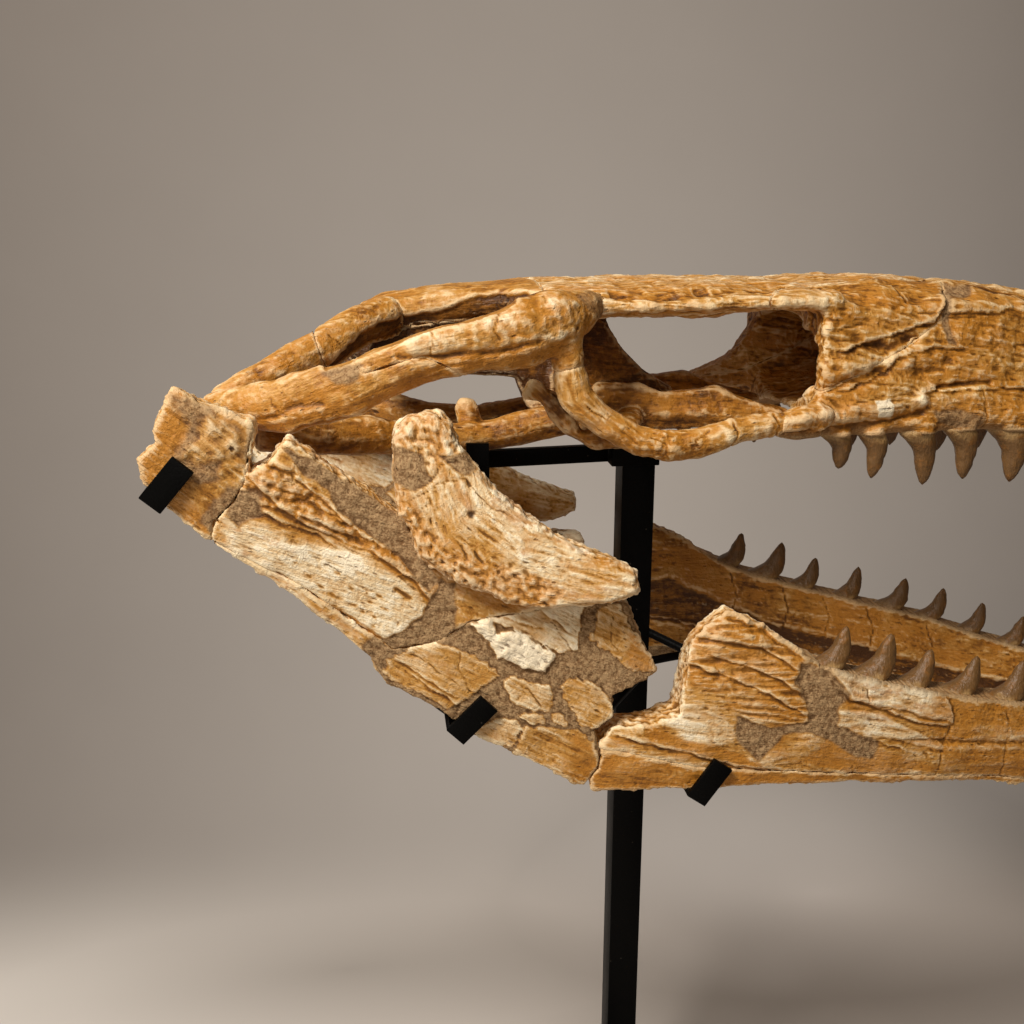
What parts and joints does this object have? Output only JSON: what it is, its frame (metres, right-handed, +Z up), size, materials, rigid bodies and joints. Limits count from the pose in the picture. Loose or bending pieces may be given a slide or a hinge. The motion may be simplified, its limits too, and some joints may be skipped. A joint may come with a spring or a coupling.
{
  "type": "mounted fossil mosasaur skull",
  "caption": "Life-size fossil skull of a large marine lizard with gaping, tooth-lined jaws, held by clips on a square steel post with a flat base plate.",
  "frame": {"origin": "underside of the base plate, on the axis of the square post", "axes": "+X towards the tip of the snout, +Y to the skull's left, +Z up"},
  "size_m": [0.941, 0.3172, 0.816],
  "materials": {
    "bone": "matte",
    "steel": "satin"
  },
  "bodies": {
    "root": {"angular_left": "bone", "angular_right": "bone", "articular_left": "bone", "articular_right": "bone", "braincase": "bone", "coronoid_left": "bone", "coronoid_right": "bone", "dentary_left": "bone", "dentary_right": "bone", "ectopterygoid_left": "bone", "ectopterygoid_right": "bone", "frontal": "bone", "jugal_left": "bone", "jugal_right": "bone", "maxilla_left": "bone", "maxilla_right": "bone", "parietal": "bone", "parietal_ramus_left": "bone", "parietal_ramus_right": "bone", "postorbitofrontal_left": "bone", "postorbitofrontal_right": "bone", "prefrontal_left": "bone", "prefrontal_right": "bone", "premaxilla": "bone", "pterygoid_left": "bone", "pterygoid_right": "bone", "splenial_left": "bone", "splenial_right": "bone", "squamosal_left": "bone", "squamosal_right": "bone", "stand_arm": "steel", "stand_base": "steel", "stand_brace_left": "steel", "stand_brace_right": "steel", "stand_clip_front_left": "steel", "stand_clip_front_right": "steel", "stand_clip_middle_left": "steel", "stand_clip_middle_right": "steel", "stand_clip_rear_left": "steel", "stand_clip_rear_right": "steel", "stand_collar": "steel", "stand_cradle": "steel", "stand_cross_rod": "steel", "stand_foot": "steel", "stand_front_saddle": "steel", "stand_post": "steel", "stand_spine_left": "steel", "stand_spine_right": "steel", "supratemporal_left": "bone", "supratemporal_right": "bone", "surangular_left": "bone", "surangular_right": "bone"}
  },
  "joints": []
}
